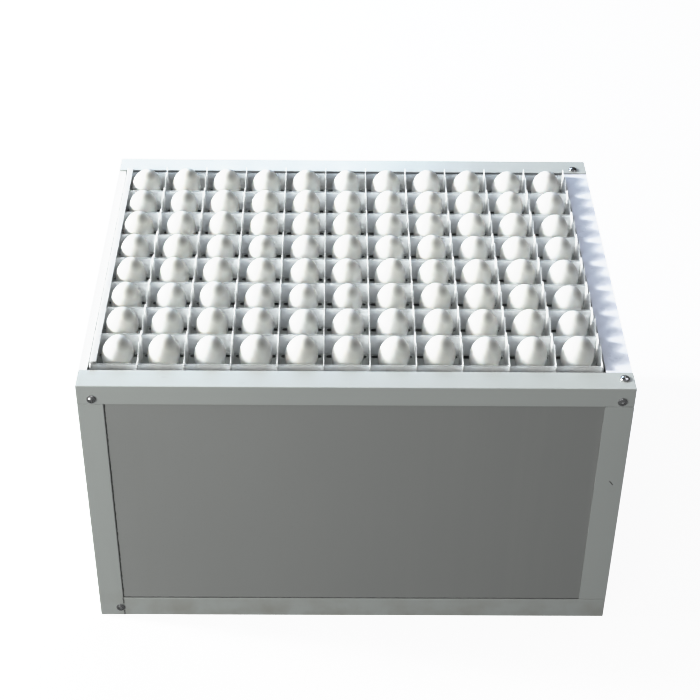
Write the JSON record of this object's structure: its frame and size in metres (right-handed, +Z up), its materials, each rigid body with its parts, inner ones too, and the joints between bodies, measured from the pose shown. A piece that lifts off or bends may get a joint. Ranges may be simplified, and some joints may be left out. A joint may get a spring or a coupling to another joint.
{
  "type": "egg incubator base",
  "caption": "Open-topped panelled box in a metal angle frame, with a tilting cradle and a lift-out toothed lattice tray that holds eggs upright in square cells.",
  "frame": {"origin": "centre of the box's footprint, on the surface that it stands on", "axes": "+X to the box's right along its long side, +Y to the back, +Z up"},
  "size_m": [0.7, 0.559, 0.422],
  "materials": {
    "frame_paint": "satin grey-white powder coat",
    "cap_sheet": "smooth white sheet",
    "panel_skin": "light grey composite board, matt",
    "cover_sheet": "smooth pale blue-grey sheet",
    "screw_steel": "bright plated",
    "zinc_plate": "zinc plated",
    "shaft_steel": "turned steel",
    "bush_nylon": "moulded nylon",
    "motor_case": "black, satin",
    "tray_plastic": "white, satin moulded",
    "tray_floor_sheet": "light grey, satin",
    "pan_plastic": "white, satin moulded"
  },
  "bodies": {
    "case": {"front_top_rail": "frame_paint", "back_top_rail": "frame_paint", "front_bottom_rail": "frame_paint", "back_bottom_rail": "frame_paint", "left_bottom_rail": "frame_paint", "right_bottom_rail": "frame_paint", "front_left_post": "frame_paint", "front_right_post": "frame_paint", "back_left_post": "frame_paint", "back_right_post": "frame_paint", "left_cap": "cap_sheet", "front_panel": "panel_skin", "back_panel": "panel_skin", "left_panel": "panel_skin", "right_panel": "panel_skin", "base_panel": "panel_skin", "screw_front_top_left": "screw_steel", "screw_front_bottom_left": "screw_steel", "screw_front_top_right": "screw_steel", "screw_back_top_left": "screw_steel", "screw_back_bottom_left": "screw_steel", "screw_back_top_right": "screw_steel", "screw_rim_front": "screw_steel", "screw_rim_back": "screw_steel", "drive_cover": "cover_sheet", "pivot_bush": "bush_nylon", "turning_motor": "motor_case", "motor_bracket": "zinc_plate"},
    "cradle": {"cradle_front_rail": "zinc_plate", "cradle_back_rail": "zinc_plate", "cradle_left_bar": "zinc_plate", "cradle_right_bar": "zinc_plate", "pivot_pin": "shaft_steel", "drive_shaft": "shaft_steel", "drive_hub": "zinc_plate"},
    "tray": {"cross_wall_1": "tray_plastic", "cross_wall_2": "tray_plastic", "cross_wall_3": "tray_plastic", "cross_wall_4": "tray_plastic", "cross_wall_5": "tray_plastic", "cross_wall_6": "tray_plastic", "cross_wall_7": "tray_plastic", "cross_wall_8": "tray_plastic", "cross_wall_9": "tray_plastic", "tray_ledge": "tray_plastic", "divider_1": "tray_plastic", "divider_2": "tray_plastic", "divider_3": "tray_plastic", "divider_4": "tray_plastic", "divider_5": "tray_plastic", "divider_6": "tray_plastic", "divider_7": "tray_plastic", "divider_8": "tray_plastic", "divider_9": "tray_plastic", "divider_10": "tray_plastic", "divider_11": "tray_plastic", "divider_12": "tray_plastic", "tray_floor": "tray_floor_sheet"},
    "pan": {"water_pan": "pan_plastic"}
  },
  "joints": [
    {"name": "tray_tilt", "type": "hinge", "parent": "case", "child": "cradle", "pos_m": [0, 0, 0.372], "axis": [1, 0, 0], "range_deg": [-45, 45]},
    {"name": "tray_lift", "type": "slide", "parent": "cradle", "child": "tray", "axis": [0, 0, 1], "range_m": [0, 0.06]},
    {"name": "pan_lift", "type": "slide", "parent": "case", "child": "pan", "axis": [0, 0, 1], "range_m": [0, 0.04]}
  ]
}
